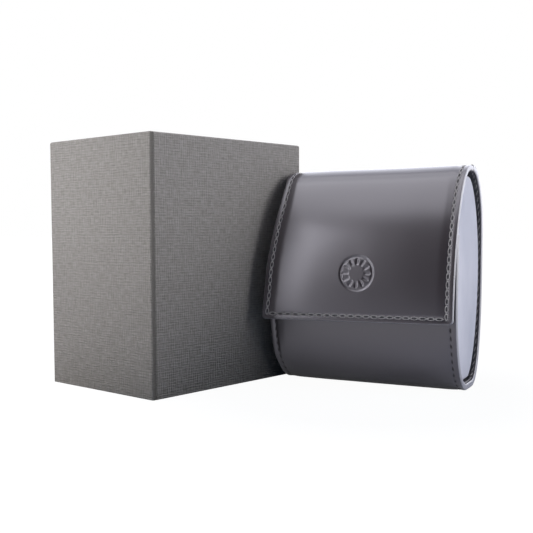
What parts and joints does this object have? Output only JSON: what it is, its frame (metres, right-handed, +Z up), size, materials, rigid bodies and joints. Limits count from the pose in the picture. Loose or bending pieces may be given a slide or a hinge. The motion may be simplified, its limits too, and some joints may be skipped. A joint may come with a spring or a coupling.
{
  "type": "watch display box",
  "caption": "Leather watch travel case with a wrap-over flap and a slide-out cushion spool, standing beside its linen-paper carton with lift-off lid.",
  "frame": {"origin": "middle of the footprint of the case and the carton together, on the surface that they stand on", "axes": "+X along the case's tube, from the carton to the open right rim; -Y on the flap's side; +Z up"},
  "size_m": [0.1838, 0.1146, 0.115],
  "materials": {
    "linen_paper": "linen-embossed, matt",
    "grey_board": "plain, matt",
    "lining_paper": "plain, matt",
    "flocked_foam": "flocked",
    "smooth_leather": "smooth, satin gloss",
    "grained_leather": "crinkle grain, satin",
    "suede": "brushed suede",
    "wood": "planed",
    "steel": "ground"
  },
  "bodies": {
    "carton_tray": {"tray_paper": "linen_paper", "tray_board": "grey_board", "tray_lining": "lining_paper", "cradle": "flocked_foam"},
    "carton_lid": {"lid_paper": "linen_paper", "lid_board": "grey_board", "lid_lining": "lining_paper"},
    "case_body": {"wrap_leather": "smooth_leather", "wrap_board": "grey_board", "wrap_lining": "grained_leather", "front_discs": "steel"},
    "case_flap": {"flap_leather": "smooth_leather", "flap_board": "grey_board", "flap_lining": "grained_leather", "flap_magnets": "steel"},
    "cushion_spool": {"left_cheek_board": "grey_board", "left_cheek_suede": "suede", "right_cheek_board": "grey_board", "right_cheek_suede": "suede", "cushion_core": "wood", "cushion_foam": "flocked_foam", "cushion_cover": "suede"}
  },
  "joints": [
    {"name": "lid_lift", "type": "slide", "parent": "carton_tray", "child": "carton_lid", "axis": [0, 0, 1], "range_m": [0, 0.118]},
    {"name": "case_lift", "type": "slide", "parent": "carton_tray", "child": "case_body", "axis": [0, 0, 1], "range_m": [0, 0.12]},
    {"name": "flap_fold", "type": "hinge", "parent": "case_body", "child": "case_flap", "pos_m": [0.04738, 0.03541, 0.1025], "axis": [-1, 0, 0], "range_deg": [0, 110]},
    {"name": "cushion_slide", "type": "slide", "parent": "case_body", "child": "cushion_spool", "axis": [1, 0, 0], "range_m": [0, 0.095]}
  ]
}
